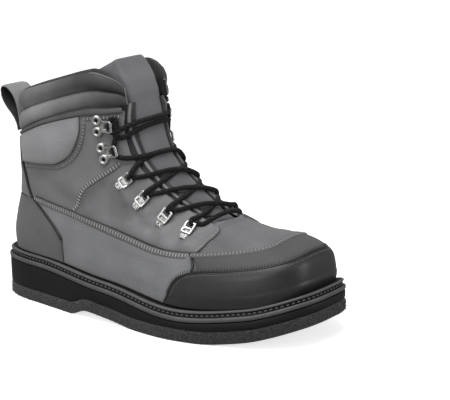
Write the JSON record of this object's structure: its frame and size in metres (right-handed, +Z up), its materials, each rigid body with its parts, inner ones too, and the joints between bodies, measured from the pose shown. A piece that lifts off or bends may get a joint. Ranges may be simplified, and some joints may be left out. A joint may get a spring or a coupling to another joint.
{
  "type": "wading boot",
  "caption": "Laced ankle-high wading boot for a right foot, with a thick felt sole, rubbed toe cap, padded collar, tongue, lace rings, lace hooks and a heel pull loop.",
  "frame": {"origin": "on the floor plane under the flat of the heel, 42 mm in front of the back of the sole", "axes": "+X from heel to toe along the sole, -Y to the outer side of the right foot, +Z up"},
  "size_m": [0.3259, 0.1218, 0.2118],
  "materials": {
    "felt": "dense dark grey felt",
    "black_rubber": "smooth matt black",
    "grey_rubber": "smooth mid grey",
    "lining": "black lining cloth",
    "grey_leather": "matt grey synthetic leather",
    "dark_leather": "dark grey synthetic leather",
    "black_leather": "smooth black with a soft sheen",
    "padded_leather": "padded dark grey, soft sheen",
    "tongue_leather": "soft grey, slight sheen",
    "webbing": "woven black tape",
    "lace": "round braided cord with light flecks",
    "steel": "bright plated steel"
  },
  "bodies": {
    "root": {"outsole_felt": "felt", "midsole": "black_rubber", "welt": "grey_rubber", "insole": "lining", "upper": "grey_leather", "toe_cap": "black_leather", "heel_counter": "dark_leather", "eyestay_outer": "dark_leather", "eyestay_inner": "dark_leather", "collar_binding": "dark_leather", "collar": "padded_leather", "tongue": "tongue_leather", "pull_loop": "webbing", "lace_ring_outer_1": "steel", "lace_ring_outer_2": "steel", "lace_ring_outer_3": "steel", "lace_ring_outer_4": "steel", "lace_ring_inner_1": "steel", "lace_ring_inner_2": "steel", "lace_ring_inner_3": "steel", "lace_ring_inner_4": "steel", "lace_hook_outer_1": "steel", "lace_hook_outer_2": "steel", "lace_hook_inner_1": "steel", "lace_hook_inner_2": "steel", "lace_bar_foot": "lace", "lace_cross_1": "lace", "lace_cross_2": "lace", "lace_cross_3": "lace", "lace_cross_4": "lace", "lace_cross_5": "lace", "lace_bar_top": "lace"}
  },
  "joints": []
}
